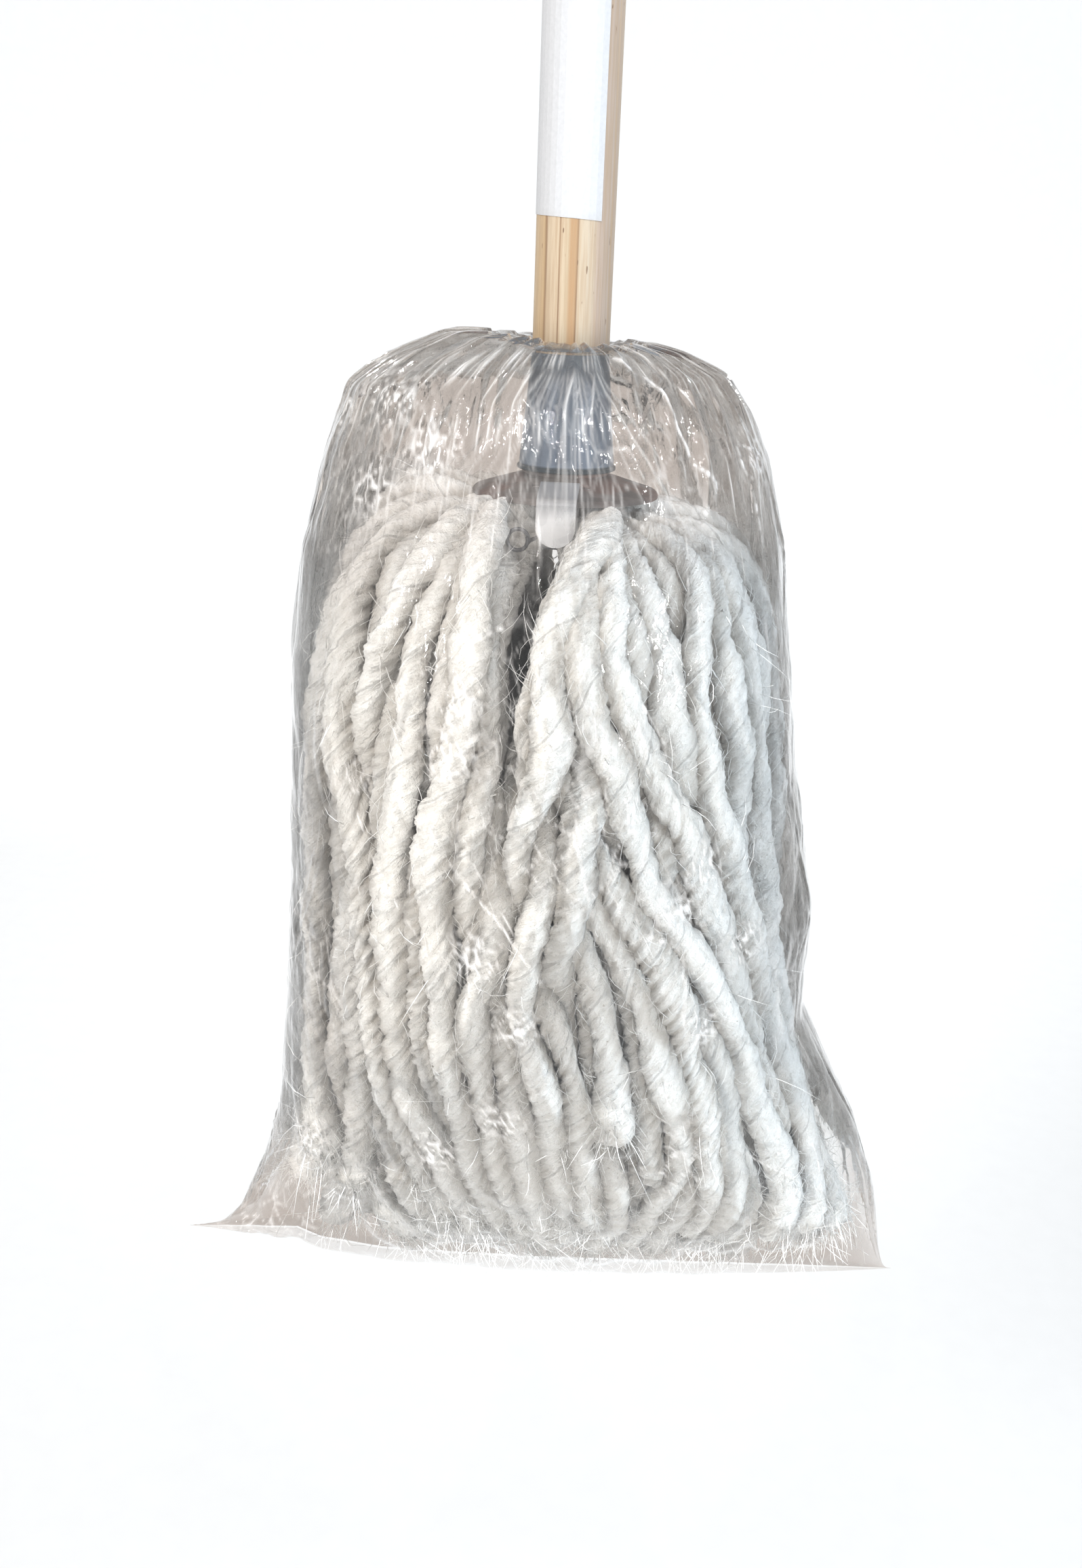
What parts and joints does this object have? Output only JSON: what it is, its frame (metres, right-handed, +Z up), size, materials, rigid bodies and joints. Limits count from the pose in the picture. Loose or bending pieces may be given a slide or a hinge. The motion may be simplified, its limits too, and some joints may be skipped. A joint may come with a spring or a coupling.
{
  "type": "string mop",
  "caption": "Cotton string mop on a long round wooden handle, its metal socket and plate head in a clear film sleeve bag gathered at the handle's foot.",
  "frame": {"origin": "under the handle's axis at the height of the bag's lowest corner, the bottom centre of the whole object", "axes": "+Z up along the handle, -Y towards the side that shows the tongue and the yarn's parting, +X to the right"},
  "size_m": [0.2724, 0.1664, 1.505],
  "materials": {
    "pine_wood": "bare sanded pine with brown grain lines",
    "label_paper": "blank white paper sticker",
    "galvanised_steel": "blue-grey zinc coating",
    "plate_steel": "dull brownish-grey pressed sheet",
    "strap_steel": "bright zinc-plated strip",
    "cotton_yarn": "off-white soft-twisted cotton",
    "clear_film": "clear glossy wrinkled polythene film"
  },
  "bodies": {
    "handle": {"handle": "pine_wood", "handle_label": "label_paper"},
    "head": {"socket_ferrule": "galvanised_steel", "top_plate": "plate_steel", "clamp_strap": "strap_steel", "socket_rivet_left": "strap_steel", "socket_rivet_right": "strap_steel", "yarn_tie_wire": "strap_steel", "yarn_bundle_01": "cotton_yarn", "yarn_bundle_02": "cotton_yarn", "yarn_bundle_03": "cotton_yarn", "yarn_bundle_04": "cotton_yarn", "yarn_bundle_05": "cotton_yarn", "yarn_bundle_06": "cotton_yarn", "yarn_bundle_07": "cotton_yarn", "yarn_bundle_08": "cotton_yarn", "yarn_bundle_09": "cotton_yarn", "yarn_bundle_10": "cotton_yarn", "yarn_bundle_11": "cotton_yarn", "yarn_bundle_12": "cotton_yarn"},
    "bag": {"bag_film": "clear_film"}
  },
  "joints": [
    {"name": "head_pull_off", "type": "slide", "parent": "handle", "child": "head", "axis": [0, 0, -1], "range_m": [0, 0.06]},
    {"name": "bag_pull_off", "type": "slide", "parent": "head", "child": "bag", "axis": [0, 0, -1], "range_m": [0, 0.37], "deforming": ["bag_film"]}
  ]
}
